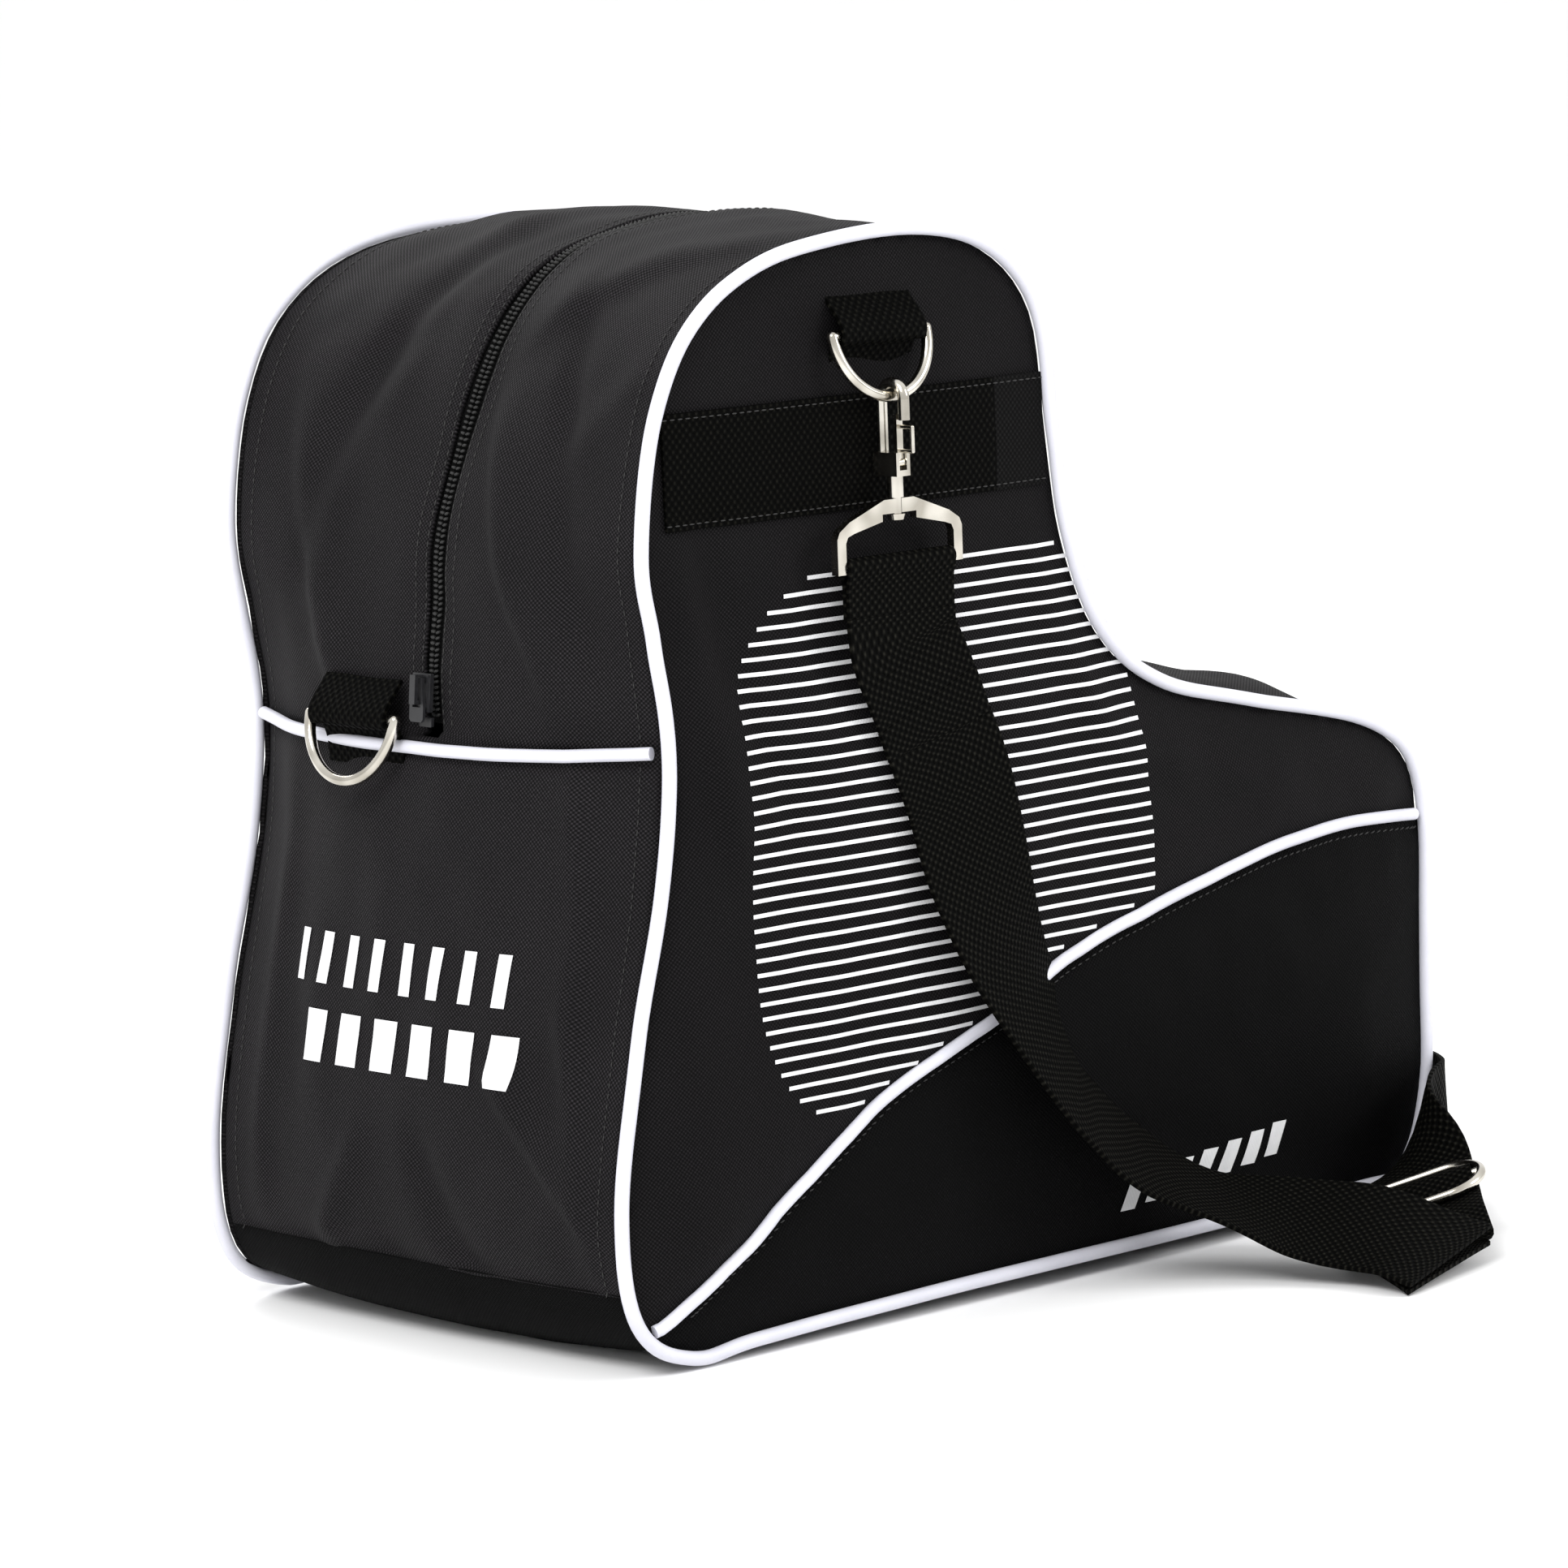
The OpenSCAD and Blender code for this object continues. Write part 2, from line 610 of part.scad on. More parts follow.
side_panel_near();
side_panel_far();
heel_panel();
upper_gusset_near();
upper_gusset_far();
toe_gusset();
base_panel();
toe_overlay_near();
toe_overlay_far();
piping_outline_near();
piping_outline_far();
piping_heel();
piping_overlay_near();
piping_overlay_far();
webbing_band_near();
webbing_band_far();
band_end_patch_near();
band_end_patch_far();
ring_tab_near();
ring_tab_far();
ring_tab_heel();
d_ring_near();
d_ring_far();
d_ring_heel();
zip_tape_near();
zip_tape_far();
zip_coil_near();
zip_coil_far();
zip_stop_bottom();
zip_stop_top();
zip_slider();
zip_pull();
hook_body_near();
hook_gate_near();
gate_lever_near();
gate_pin_near();
swivel_rivet_near();
strap_frame_near();
strap_loop_near();
strap_top_near();
hook_body_far();
hook_gate_far();
gate_lever_far();
gate_pin_far();
swivel_rivet_far();
strap_frame_far();
strap_loop_far();
strap_top_far();
strap_near();
strap_far();
triglide();
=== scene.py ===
import math

import bpy
from mathutils import Matrix, Vector, noise
from mathutils.geometry import delaunay_2d_cdt


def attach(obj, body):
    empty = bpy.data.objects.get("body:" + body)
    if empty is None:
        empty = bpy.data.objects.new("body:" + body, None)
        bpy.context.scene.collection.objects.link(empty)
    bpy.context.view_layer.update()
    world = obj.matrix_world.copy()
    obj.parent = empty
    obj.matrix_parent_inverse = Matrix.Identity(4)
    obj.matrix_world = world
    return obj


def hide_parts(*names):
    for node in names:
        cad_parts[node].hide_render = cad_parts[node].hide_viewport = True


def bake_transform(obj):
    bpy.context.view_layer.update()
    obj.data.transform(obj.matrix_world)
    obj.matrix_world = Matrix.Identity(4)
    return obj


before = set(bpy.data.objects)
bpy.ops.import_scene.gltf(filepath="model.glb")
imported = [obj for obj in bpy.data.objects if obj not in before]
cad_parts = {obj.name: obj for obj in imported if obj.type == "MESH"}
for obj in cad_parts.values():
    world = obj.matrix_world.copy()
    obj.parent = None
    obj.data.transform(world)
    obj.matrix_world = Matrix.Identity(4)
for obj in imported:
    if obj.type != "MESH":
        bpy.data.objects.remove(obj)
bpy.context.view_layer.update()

scene = bpy.context.scene
bpy.ops.object.select_all(action="DESELECT")

# ---- Camera ----

aim = Vector((-0.020, 0.0, 0.1714))
eye = Vector((-1.7223, -1.7984, 0.5153))
roll = math.radians(2.06)
look = (aim - eye).normalized()
level = look.cross(Vector((0, 0, 1))).normalized()
over = level.cross(look)
right = level * math.cos(roll) - over * math.sin(roll)
up = over * math.cos(roll) + level * math.sin(roll)
bpy.ops.object.camera_add(location=eye)
camera = bpy.context.object
camera.name = "camera"
camera.matrix_world = Matrix((
    (right.x, up.x, -look.x, eye.x), (right.y, up.y, -look.y, eye.y), (right.z, up.z, -look.z, eye.z), (0, 0,
        0, 1)))
camera.data.lens = 161
camera.data.sensor_width = 36
camera.data.clip_end = 60
scene.camera = camera

# ---- Shape of the bag, in millimetres ----

side_outline = [(-172, 6), (-195, 20), (-200, 58), (-190, 112), (-176, 165), (-171, 208), (-176, 245),
    (-180, 275), (-172, 318), (-152, 349), (-115, 367), (-56, 372), (-18, 364), (5, 341), (11, 300),
    (17, 262), (33, 227), (62, 205), (112, 192), (165, 180), (192, 165), (200, 138), (199, 90),
    (197, 40), (184, 13), (160, 10), (60, 9.5), (-60, 9), (-140, 7.5)]
mid_outline = [(-172, 0), (-198, 18), (-206, 62), (-204, 112), (-198, 165), (-193, 208), (-189, 245),
    (-185, 278), (-168, 320), (-144, 354), (-108, 373), (-56, 379), (-14, 371), (12, 347), (18, 305),
    (25, 268), (41, 236), (67, 215), (113, 204), (166, 194), (195, 178), (206, 142), (206, 90),
    (202, 40), (186, 8), (160, 0), (60, 0), (-60, 0), (-140, 0)]
base_heel, heel_piping, zip_end, base_toe = 1.3, 5.0, 15.8, 23.3
around = len(side_outline)
half_width = 105.0
inner_half = 102.0
zip_line = -8.0 / inner_half
overlay_edge = [(-192, 15), (-176, 23), (-92, 76), (-31, 100), (10, 117), (48, 127), (80, 134), (114, 140),
    (147, 143), (172, 143), (200, 141)]


def between(a, b, c, d, t):
    """Smooth step from b to c, with a and d on either side."""
    return 0.5 * (2 * b + (c - a) * t + (2 * a - 5 * b + 4 * c - d) * t * t + (3 * b - a - 3 * c + d) * t ** 3)


def on_outline(points, s):
    n, i = len(points), math.floor(s)
    t = s - i
    a, b, c, d = (points[(i + k) % n] for k in (-1, 0, 1, 2))
    return tuple(between(a[k], b[k], c[k], d[k], t) for k in (0, 1))


def outward(s):
    a, b = on_outline(side_outline, s + 0.05), on_outline(side_outline, s - 0.05)
    x, z = a[0] - b[0], a[1] - b[1]
    size = math.hypot(x, z)
    return (-z / size, x / size)


def smooth(low, high, x):
    t = min(max((x - low) / (high - low), 0.0), 1.0)
    return t * t * (3 - 2 * t)


def hump(x, width):
    return math.exp(-(x / width) ** 2)


def fold(x, z, a, b, width, height, skew=0.0):
    """Soft ridge along the line from a to b, dying out past its ends. Skew makes one flank steeper."""
    dx, dz = b[0] - a[0], b[1] - a[1]
    size = math.hypot(dx, dz)
    t = ((x - a[0]) * dx + (z - a[1]) * dz) / size / size
    off = ((z - a[1]) * dx - (x - a[0]) * dz) / size
    ends = smooth(-0.25, 0.15, t) * (1 - smooth(0.8, 1.25, t))
    wide = width * (1 + skew * math.tanh(off / width))
    return height * ends * math.exp(-(off / wide) ** 2)


def crumple(x, y, z, size, height, seed):
    p = Vector((x / size + seed, y / size - seed, z / size + 2 * seed))
    return height * (noise.noise(p) + 0.4 * noise.noise(p * 2.1))


def gusset_folds(s, v):
    """How far the gusset stands out from its plain shape at place s round the outline and width v."""
    y = v * inner_half
    held = 1 - abs(v) ** 6
    out = crumple(s * 26, y, 0, 38, 2.4, 3.1) + crumple(s * 26, y * 0.6, 4, 17, 0.7, 8.2)
    if base_heel < s < heel_piping:
        u = (s - base_heel) / (heel_piping - base_heel) * 175
        out += fold(y, u, (-92, 22), (-46, 66), 6, 4.2, 0.5) + fold(y, u, (-92, 6), (-74, 96), 5.5, 3.0)
        out -= 3.2 * hump(y + 62, 13) * hump(u - 62, 26) + 2.4 * hump(y + 84, 7) * hump(u - 120, 46)
        out += fold(y, u, (-80, 70), (-72, 168), 4.5, 2.6) + fold(y, u, (82, 20), (72, 130), 6, 2.6)
        out += fold(y, u, (-30, 2), (-6, 44), 7, -2.8) + fold(y, u, (46, 4), (24, 40), 6.5, 3.0)
        out += fold(y, u, (14, 60), (6, 130), 11, 1.6) - 1.8 * hump(y - 60, 9) * hump(u - 80, 50)
        out -= 2.2 * hump(u - 175, 7) + 1.5 * hump(u, 6)
    elif heel_piping < s < zip_end:
        out += fold(y, s * 30, (-62, 168), (-28, 240), 8, 4.2, 0.6) + fold(y, s * 30, (-80, 178), (-50, 266),
            6.5, -3.0)
        out += fold(y, s * 30, (44, 168), (72, 240), 9, 4.0, 0.4) + fold(y, s * 30, (66, 196), (28, 292), 8,
            -3.0)
        out += fold(y, s * 30, (-88, 304), (-30, 262), 8, 3.0, 0.4) + fold(y, s * 30, (80, 322), (30, 300),
            9, 2.6)
        out += fold(y, s * 30, (-94, 250), (-60, 226), 7, 2.4) + fold(y, s * 30, (24, 250), (58, 214), 8, 2.0)
        out -= 1.8 * hump((s - heel_piping) * 30, 8)
        out -= 1.6 * hump(y + 8, 13)
    elif zip_end < s < base_toe:
        out += fold(y, s * 26, (-70, 430), (60, 470), 12, 2.4) + fold(y, s * 26, (70, 500), (-50, 530), 14,
            -2.0)
        out += fold(y, s * 26, (-60, 560), (60, 556), 9, 1.6)
    else:
        out = 0.5 * crumple(s * 20, y, 2, 30, 1.0, 1.7)
    return out * held


def skin(s, v, out=0.0, folds=True):
    """Point on the gusset in metres: place s round the outline, v from -1 near to 1 far, out of the surface."""
    c = 1 - abs(v) ** 2.5
    m, e, o = on_outline(mid_outline, s), on_outline(side_outline, s), outward(s)
    if folds:
        out = out + gusset_folds(s, v)
    x, z = (e[k] * (1 - c) + m[k] * c + o[k] * out for k in (0, 1))
    return Vector((x, v * inner_half, max(z, 0.35))) / 1000


outline_loop = [on_outline(side_outline, k / 8) for k in range(around * 8)]


def edge_distance(x, z):
    best = 1e9
    for k in range(0, len(outline_loop), 2):
        a, b = outline_loop[k], outline_loop[(k + 2) % len(outline_loop)]
        dx, dz = b[0] - a[0], b[1] - a[1]
        t = min(max(((x - a[0]) * dx + (z - a[1]) * dz) / (dx * dx + dz * dz), 0), 1)
        best = min(best, math.hypot(x - a[0] - t * dx, z - a[1] - t * dz))
    return best


def side_bulge(x, z, near=True):
    """How far a side panel stands out from its seam, in millimetres."""
    d = edge_distance(x, z)
    rise = 1 - math.exp(-d / 26.0)
    flat = smooth(198, 238, z) * (1 - smooth(40, 70, x))
    full = 11.0 * (1 - flat) + 2.6 * flat
    if not near:
        full = full * 0.55 + 13 * hump(x + 150, 46) * hump(z - 190, 80)
    out = full * rise
    soft = min(d / 22.0, 1.0)
    out += soft * (1 - 0.75 * flat) * (crumple(x, 0, z, 46, 2.2, 5.3) + crumple(x, 3, z, 19, 0.6, 2.9))
    if near:
        out += soft * (fold(x, z, (-166, 268), (-148, 172), 6, 3.6, 0.4) + fold(x, z, (-152, 272), (-124,
            182), 7, -2.8)
            + fold(x, z, (-120, 262), (-106, 200), 7, 1.4) + fold(x, z, (2, 262), (30, 196), 8, 2.2)
            + fold(x, z, (30, 190), (120, 160), 10, 2.0) + fold(x, z, (-186, 60), (-120, 26), 9, 1.6))
    seam = min(abs(z - seam_height(x)), 40)
    out -= 2.2 * hump(seam, 7) * min(d / 12.0, 1.0)
    return max(out, -0.6)


def seam_height(x):
    for (x0, z0), (x1, z1) in zip(overlay_edge, overlay_edge[1:]):
        if x <= x1:
            return z0 + (z1 - z0) * (x - x0) / (x1 - x0)
    return overlay_edge[-1][1]


bulge_grid = {}


def bulge_at(x, z, near=True):
    """The same bulge read from a 4 mm grid, for the many pieces that lie on a side panel."""
    i, j = math.floor(x / 4), math.floor(z / 4)
    t, u = x / 4 - i, z / 4 - j
    corner = []
    for a in (0, 1):
        for b in (0, 1):
            key = (i + a, j + b, near)
            if key not in bulge_grid:
                bulge_grid[key] = side_bulge((i + a) * 4, (j + b) * 4, near)
            corner.append(bulge_grid[key])
    return (corner[0] * (1 - t) * (1 - u) + corner[1] * (1 - t) * u + corner[2] * t * (1 - u)
        + corner[3] * t * u)


def on_side(x, z, out=0.0, near=True):
    y = half_width - 0.5 + bulge_at(x, z, near) + out
    return Vector((x, -y if near else y, z)) / 1000


# ---- Materials ----


class Wire:
    """A socket of a material, with arithmetic that adds Math nodes."""

    def __init__(self, sheet, socket):
        self.sheet, self.socket = sheet, socket

    def maths(self, operation, *others):
        values = [self, *others]
        return self.sheet.add("ShaderNodeMath", {"operation": operation}, dict(enumerate(values)))

    def __add__(self, other):
        return self.maths("ADD", other)

    def __mul__(self, other):
        return self.maths("MULTIPLY", other)

    def __sub__(self, other):
        return self.maths("SUBTRACT", other)

    def __rsub__(self, other):
        return self.sheet.add("ShaderNodeMath", {"operation": "SUBTRACT"}, {0: other, 1: self})

    __radd__ = __add__
    __rmul__ = __mul__


class Sheet:
    """A new material and the one way to add nodes to it."""

    def __init__(self, name):
        self.material = bpy.data.materials.new(name)
        self.material.use_nodes = True
        self.tree = self.material.node_tree
        self.shader = next(n for n in self.tree.nodes if n.type == "BSDF_PRINCIPLED")

    def add(self, kind, settings=None, inputs=None, output=0):
        node = self.tree.nodes.new(kind)
        for key, value in (settings or {}).items():
            if key == "stops":
                ramp = node.color_ramp
                while len(ramp.elements) < len(value):
                    ramp.elements.new(0.5)
                for element, (place, colour) in zip(ramp.elements, value):
                    element.position, element.color = place, colour
            else:
                setattr(node, key, value)
        self.join(node, inputs or {})
        return Wire(self, node.outputs[output])

    def join(self, node, inputs):
        for key, value in inputs.items():
            if isinstance(value, Wire):
                self.tree.links.new(value.socket, node.inputs[key])
            else:
                node.inputs[key].default_value = value

    def place(self, mapped):
        source = self.add("ShaderNodeTexCoord", output="UV" if mapped else "Object")
        split = self.tree.nodes.new("ShaderNodeSeparateXYZ")
        self.tree.links.new(source.socket, split.inputs[0])
        return source, Wire(self, split.outputs[0]), Wire(self, split.outputs[1])

    def speckle(self, at, scale, detail=3.0):
        return self.add("ShaderNodeTexNoise", {}, {"Vector": at, "Scale": scale, "Detail": detail})

    def tint(self, mask, low, high):
        return self.add("ShaderNodeMix", {"data_type": "RGBA"}, {0: mask, 6: (*low, 1), 7: (*high, 1)},
            output=2)

    def bump(self, height, strength, distance):
        return self.add("ShaderNodeBump", {}, {"Height": height, "Strength": strength, "Distance": distance})

    def finish(self, **inputs):
        self.join(self.shader, {key.replace("_", " "): value for key, value in inputs.items()})
        return self.material


def woven_cloth(name, dark, lit, pitch, rough, sheen):
    """Plain weave with a slight twill drift, on the piece's own cut in metres."""
    s = Sheet(name)
    at, u, v = s.place(True)
    turn = 2 * math.pi / pitch
    warp = (u * turn + v * (0.06 * turn)).maths("SINE")
    weft = (v * turn - u * (0.05 * turn)).maths("SINE")
    knot = (warp * weft) * 0.5 + 0.5
    thread = s.speckle(at, 900.0, 2.0)
    soft = s.speckle(at, 22.0, 4.0)
    lift = knot * (thread * 0.7 + 0.45)
    # Thread tops take the lit colour against darker hollows: a painted highlight on the weave, varied by noise.
    colour = s.tint((lift.maths("POWER", 2.0) * (soft * 0.8 + 0.55)).maths("MINIMUM", 1.0), dark, lit)
    return s.finish(Base_Color=colour, Roughness=rough + (1.0 - knot) * 0.18, Sheen_Weight=sheen,
        Sheen_Roughness=0.45, Specular_IOR_Level=0.07, Normal=s.bump(lift, 0.8, 0.0004))


def webbing(name, across, along, lit):
    """Coarse narrow weave: staggered nubs in rows, with ribs along the length."""
    s = Sheet(name)
    at, u, v = s.place(True)
    rows = (u * (2 * math.pi / across)).maths("SINE")
    steps = (v * (2 * math.pi / along)).maths("SINE")
    nub = ((rows * steps) * 0.5 + 0.5).maths("POWER", 1.5)
    rib = (u * (4 * math.pi / across)).maths("COSINE") * 0.5 + 0.5
    fleck = s.speckle(at, 700.0, 2.0)
    lift = nub * 0.75 + rib * 0.25
    # Nub tops broken by fine noise take the lit colour: a painted glint on the black webbing.
    painted_glint = (nub.maths("POWER", 3.0) * fleck).maths("MINIMUM", 1.0)
    return s.finish(Base_Color=s.tint(painted_glint, (0.0006, 0.0006, 0.0005), lit), Roughness=0.82 - nub * 0.22,
        Sheen_Weight=0.0, Sheen_Roughness=0.5, Specular_IOR_Level=0.03, Normal=s.bump(lift, 0.9, 0.0006))


def nickel_plate(name):
    s = Sheet(name)
    at, _, _ = s.place(False)
    cloud, fine, band = s.speckle(at, 60.0), s.speckle(at, 1500.0, 2.0), s.speckle(at, 120.0, 0.0)
    # Noise patches of darker and lighter nickel: painted shading that stands in for reflections in the metal.
    painted_shading = (band - 0.30).maths("MULTIPLY", 2.4).maths("MAXIMUM", 0.0).maths("MINIMUM", 1.0)
    return s.finish(Base_Color=s.tint(painted_shading, (0.40, 0.375, 0.325), (0.66, 0.63, 0.565)), Metallic=1.0,
        Roughness=cloud * 0.14 + 0.1, Normal=s.bump(fine, 0.08, 0.0001))


def piping_vinyl(name):
    s = Sheet(name)
    at, _, _ = s.place(False)
    cloud, fine = s.speckle(at, 45.0), s.speckle(at, 900.0, 3.0)
    return s.finish(Base_Color=s.tint(cloud, (0.55, 0.55, 0.62), (0.70, 0.70, 0.76)),
        Roughness=0.42 + fine * 0.12,
        Coat_Weight=0.08, Specular_IOR_Level=0.4, Normal=s.bump(fine + cloud, 0.22, 0.0003))


def black_lacquer(name):
    s = Sheet(name)
    at, _, _ = s.place(False)
    cloud = s.speckle(at, 300.0)
    return s.finish(Base_Color=s.tint(cloud, (0.006, 0.006, 0.007), (0.02, 0.02, 0.022)),
        Roughness=0.28 + cloud * 0.2,
        Normal=s.bump(cloud, 0.15, 0.0002))


def spun_thread(name, dark, lit):
    s = Sheet(name)
    at, _, _ = s.place(False)
    twist = s.speckle(at, 1400.0, 2.0)
    return s.finish(Base_Color=s.tint(twist, dark, lit), Roughness=0.6 + twist * 0.2, Normal=s.bump(twist,
        0.5, 0.0002))


def print_ink(name):
    s = Sheet(name)
    at, u, v = s.place(True)
    turn = 2 * math.pi / 0.0014
    knot = ((u * turn).maths("SINE") * (v * turn).maths("SINE")) * 0.5 + 0.5
    worn = s.speckle(at, 260.0, 4.0)
    return s.finish(Base_Color=s.tint(worn, (0.60, 0.60, 0.61), (0.76, 0.76, 0.77)),
        Roughness=0.5 + knot * 0.15,
        Normal=s.bump(knot, 0.35, 0.0003))


def studio_floor(name):
    s = Sheet(name)
    at, _, _ = s.place(False)
    cloud = s.speckle(at, 4.0)
    return s.finish(Base_Color=s.tint(cloud, (0.93, 0.93, 0.93), (0.96, 0.96, 0.96)),
        Roughness=0.7 + cloud * 0.1)


body_cloth = woven_cloth("body_cloth", (0.0016, 0.0015, 0.0017), (0.043, 0.039, 0.043), 0.0015, 0.6, 0.01)
# The side panels use the same black cloth as the body with a darker lit colour: painted shade for the sides
# that face away from the light.
painted_shade_side_cloth = woven_cloth("painted_shade_side_cloth", (0.0012, 0.0011, 0.0013), (0.020, 0.018, 0.0195), 0.0015, 0.66, 0.005)
toe_cloth = woven_cloth("toe_cloth", (0.0006, 0.0006, 0.0007), (0.0042, 0.0040, 0.0041), 0.0015, 0.75, 0.0)
base_cloth = woven_cloth("base_cloth", (0.0006, 0.0006, 0.0006), (0.004, 0.004, 0.0042), 0.0015, 0.8, 0.0)
patch_cloth = woven_cloth("patch_cloth", (0.0008, 0.0008, 0.0008), (0.0085, 0.008, 0.0078), 0.0022, 0.7, 0.0)
strap_webbing = webbing("strap_webbing", 0.0034, 0.0030, (0.024, 0.023, 0.018))
band_webbing = webbing("band_webbing", 0.0034, 0.0030, (0.013, 0.0125, 0.0095))
nickel = nickel_plate("nickel")
white_piping = piping_vinyl("white_piping")
zip_lacquer = black_lacquer("zip_lacquer")
zip_tape_cloth = woven_cloth("zip_tape_cloth", (0.0012, 0.0012, 0.0012), (0.007, 0.007, 0.007), 0.0009, 0.75,
    0.005)
coil_nylon = spun_thread("coil_nylon", (0.003, 0.003, 0.003), (0.018, 0.018, 0.017))
black_thread = spun_thread("black_thread", (0.003, 0.003, 0.003), (0.022, 0.021, 0.02))
white_ink = print_ink("white_ink")
floor_paint = studio_floor("floor_paint")


# ---- Making pieces ----


def choose(*pieces):
    """Selects these pieces and no others, and makes the first the active one."""
    for o in bpy.context.selected_objects:
        o.select_set(False)
    for o in pieces:
        o.select_set(True)
    bpy.context.view_layer.objects.active = pieces[0]


def face_outwards(piece):
    choose(piece)
    bpy.ops.object.mode_set(mode="EDIT")
    bpy.ops.mesh.select_all(action="SELECT")
    bpy.ops.mesh.normals_make_consistent(inside=False)
    bpy.ops.object.mode_set(mode="OBJECT")
    piece.select_set(False)
    return piece


def settle(piece, name, material, body, replaced=(), angle=None):
    """Names a piece, gives it its finish and body, and hides the plain solids it stands for."""
    piece.name = piece.data.name = name
    piece.data.materials.clear()
    piece.data.materials.append(material)
    choose(piece)
    if angle is None:
        bpy.ops.object.shade_smooth()
    else:
        bpy.ops.object.shade_smooth_by_angle(angle=math.radians(angle))
    piece.select_set(False)
    if body:
        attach(piece, body)
    if replaced:
        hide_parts(*replaced)
    return piece


def finish_with(piece, kind, **settings):
    m = piece.modifiers.new(kind.lower(), kind)
    for key, value in settings.items():
        setattr(m, key, value)
    choose(piece)
    bpy.ops.object.modifier_apply(modifier=m.name)
    piece.select_set(False)


def cut_cloth(columns, rows, place, cut, thick=0.0, offset=-1.0):
    """A flat grid of cloth laid over a shape: place gives each point, cut gives its place in the flat cut."""
    bpy.ops.mesh.primitive_grid_add(x_subdivisions=columns, y_subdivisions=rows, size=2)
    piece = bpy.context.object
    mesh = piece.data
    shares = [((v.co.x + 1) / 2, (v.co.y + 1) / 2) for v in mesh.vertices]
    flat = mesh.uv_layers[0].data
    for loop in mesh.loops:
        flat[loop.index].uv = cut(*shares[loop.vertex_index])
    for v, (a, b) in zip(mesh.vertices, shares):
        v.co = place(a, b)
    piece.select_set(False)
    if thick:
        finish_with(piece, "SOLIDIFY", thickness=thick, offset=offset, use_even_offset=False)
    return piece


def turn_out(piece):
    """Turns all faces over, where a laid cloth faces inwards."""
    piece.data.flip_normals()
    return piece


def make_tube(points, radius, closed=False, sides=6):
    """A round cord through points, closed at its ends."""
    line = bpy.data.curves.new("cord", "CURVE")
    line.dimensions = "3D"
    line.bevel_depth = radius
    line.bevel_resolution = sides // 2 - 1
    line.use_fill_caps = not closed
    strand = line.splines.new("POLY")
    strand.points.add(len(points) - 1)
    for p, q in zip(strand.points, points):
        p.co = (*q, 1)
    strand.use_cyclic_u = closed
    piece = bpy.data.objects.new("cord", line)
    scene.collection.objects.link(piece)
    choose(piece)
    bpy.ops.object.convert(target="MESH")
    piece.select_set(False)
    return bpy.context.object


def through(points, step):
    """A smooth line through given points, in even short steps."""
    fine = []
    n = len(points)
    for i in range(n - 1):
        a, b = points[max(i - 1, 0)], points[i]
        c, d = points[i + 1], points[min(i + 2, n - 1)]
        parts = max(1, round(math.dist(b, c) / step))
        for k in range(parts):
            fine.append(tuple(between(a[j], b[j], c[j], d[j], k / parts) for j in range(len(b))))
    fine.append(tuple(points[-1]))
    return fine


def joined(pieces):
    choose(*pieces)
    bpy.ops.object.join()
    pieces[0].select_set(False)
    return pieces[0]


# ---- Shoulder strap ----

strap_half, strap_thick, fold_half = 25.0, 1.6, 30.0
ring_x = -73.5
near_path = [(-60, -120, 202), (-53, -121, 184), (-46, -122, 158), (-36, -123, 130), (-23, -124, 104),
    (-8, -125, 78), (4, -126, 63), (16, -128, 50), (30, -133, 38), (47, -145, 27), (65, -163, 20),
    (78, -189, 16), (87, -216, 8.8)]
near_across = [(-1, 0, -0.25), (-1, 0, -0.27), (-1, -0.05, -0.3), (-1, -0.25, -0.38), (-1, -0.5, -0.4),
    (-0.95, -0.7, -0.3), (-0.9, -0.7, -0.2), (-0.85, -0.6, -0.1), (-0.8, -0.62, -0.1), (-0.74, -0.66, -0.13),
    (-0.78, -0.53, -0.34), (-0.75, -0.52, -0.41), (-0.93, -0.2, -0.16)]
far_path = [(-60, 120, 202), (-53, 121, 184), (-46, 122, 158), (-36, 123, 130), (-22, 125, 104), (0, 127, 74),
    (28, 129, 50), (62, 131, 34), (100, 131, 28), (140, 129, 26), (178, 124, 26), (206, 112, 26),
    (221, 90, 26), (228, 58, 26), (230, 24, 26), (230, -10, 26), (227, -44, 26), (219, -74, 26),
    (211.5, -98, 26), (202, -115, 26), (182.5, -121.5, 25.8), (163, -128.5, 22.7), (148.3, -141.12, 18.23),
    (129, -161, 14.2), (111.08, -179.46, 10.45), (97, -196, 7.6), (87, -215, 4.6)]
far_across = [(1, 0, 0.25), (1, 0, 0.27), (1, 0, 0.3), (1, -0.1, 0.5), (0.9, -0.15, 0.7), (0.7, -0.1, 0.9),
    (0.5, -0.1, 1), (0.3, -0.1, 1), (0.1, -0.1, 1), (0, -0.05, 1), (0, 0, 1), (0, 0, 1), (0, 0, 1), (0, 0, 1),
    (0, 0, 1), (0, 0, 1), (0, 0, 1), (0, 0, 1), (0, 0, 1), (-0.06, 0.02, 1), (0.12, -0.12, 1),
    (0.38, -0.36, 0.85), (0.6505, -0.694, 0.3086), (0.6505, -0.694, 0.3086), (0.6505, -0.694, 0.3086),
    (0.85, -0.42, 0.14), (0.93, 0.2, 0.1)]
top_path = [(-73.5, -117.2, 245.4), (-73.5, -117.8, 236), (-67, -119, 220), (-60, -120, 202)]
top_across = [(-1, 0, 0), (-1, 0, -0.1), (-1, 0, -0.2), (-1, 0, -0.25)]


